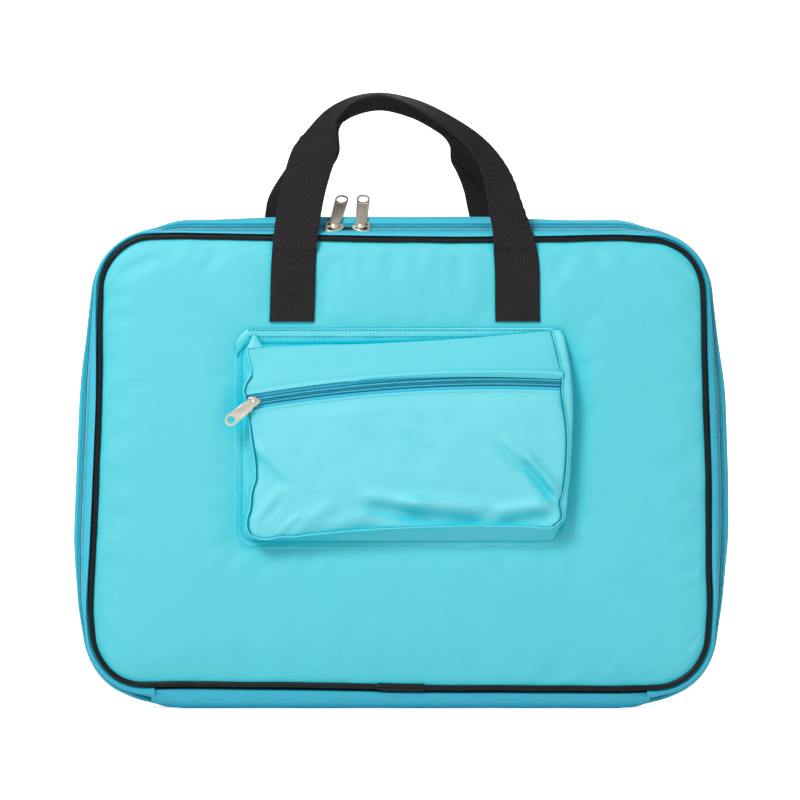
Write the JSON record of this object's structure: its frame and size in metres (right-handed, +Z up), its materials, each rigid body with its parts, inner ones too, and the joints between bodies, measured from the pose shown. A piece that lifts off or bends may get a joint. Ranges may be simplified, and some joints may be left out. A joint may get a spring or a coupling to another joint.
{
  "type": "zippered carrying case",
  "caption": "Flat padded carrying case with a zipped gusset, webbing handles front and back and a zipped bellows pocket.",
  "frame": {"origin": "middle of the flat underside that the case stands on", "axes": "+Z up, -Y towards the pocket side, +X to the right seen from the pocket side"},
  "size_m": [0.691, 0.0926, 0.6508],
  "materials": {
    "case_cloth": "matt woven polyester",
    "pocket_cloth": "matt woven polyester",
    "padding": "soft foam sheet",
    "lining": "smooth woven lining",
    "piping": "satin bias tape",
    "zip_tape": "woven tape",
    "zip_coil": "nylon coil",
    "webbing": "flat woven webbing",
    "slider_metal": "polished plated zinc"
  },
  "bodies": {
    "base": {"back_panel": "case_cloth", "back_padding": "padding", "back_lining": "lining", "back_piping": "piping", "back_piping_sleeve": "piping", "back_gusset": "case_cloth", "back_zip_tape": "zip_tape", "back_zip_coil": "zip_coil", "bottom_gusset": "case_cloth", "left_zip_end": "case_cloth", "right_zip_end": "case_cloth", "back_handle_ends": "webbing"},
    "lid": {"front_panel": "case_cloth", "front_padding": "padding", "front_lining": "lining", "front_piping": "piping", "front_piping_sleeve": "piping", "front_gusset": "case_cloth", "front_zip_tape": "zip_tape", "front_zip_coil": "zip_coil", "front_handle_ends": "webbing", "pocket_hem": "case_cloth", "pocket_sides": "pocket_cloth", "pocket_front": "pocket_cloth", "pocket_top": "pocket_cloth", "pocket_zip_tape": "zip_tape", "pocket_zip_coil": "zip_coil"},
    "front_handle": {"front_handle": "webbing"},
    "back_handle": {"back_handle": "webbing"},
    "left_slider": {"left_slider": "slider_metal"},
    "left_pull": {"left_pull": "slider_metal"},
    "right_slider": {"right_slider": "slider_metal"},
    "right_pull": {"right_pull": "slider_metal"},
    "pocket_slider": {"pocket_slider": "slider_metal"},
    "pocket_pull": {"pocket_pull": "slider_metal"}
  },
  "joints": [
    {"name": "lid_open", "type": "hinge", "parent": "base", "child": "lid", "pos_m": [0, -0.0282, 0.02], "axis": [1, 0, 0], "range_deg": [0, 84]},
    {"name": "front_handle_swing", "type": "hinge", "parent": "lid", "child": "front_handle", "pos_m": [0, -0.0332, 0.497], "axis": [1, 0, 0], "range_deg": [0, 150]},
    {"name": "back_handle_swing", "type": "hinge", "parent": "base", "child": "back_handle", "pos_m": [0, 0.0332, 0.497], "axis": [-1, 0, 0], "range_deg": [0, 150]},
    {"name": "left_slider_run", "type": "slide", "parent": "base", "child": "left_slider", "axis": [-1, 0, 0], "range_m": [0, 0.188]},
    {"name": "left_pull_swing", "type": "hinge", "parent": "left_slider", "child": "left_pull", "pos_m": [-0.07, -0.0175, 0.507], "axis": [0, -0.7314, 0.682], "range_deg": [0, 105]},
    {"name": "right_slider_run", "type": "slide", "parent": "base", "child": "right_slider", "axis": [1, 0, 0], "range_m": [0, 0.3]},
    {"name": "right_pull_swing", "type": "hinge", "parent": "right_slider", "child": "right_pull", "pos_m": [-0.042, -0.0175, 0.507], "axis": [0, 0.7314, -0.682], "range_deg": [0, 90]},
    {"name": "pocket_slider_run", "type": "hinge", "parent": "lid", "child": "pocket_slider", "pos_m": [0.09768, -0.0516, -1.16187], "axis": [0, 1, 0], "range_deg": [0, 11.92]},
    {"name": "pocket_pull_swing", "type": "hinge", "parent": "pocket_slider", "child": "pocket_pull", "pos_m": [-0.15272, -0.0516, 0.32504], "axis": [0, -1, 0], "range_deg": [-35, 50]}
  ]
}
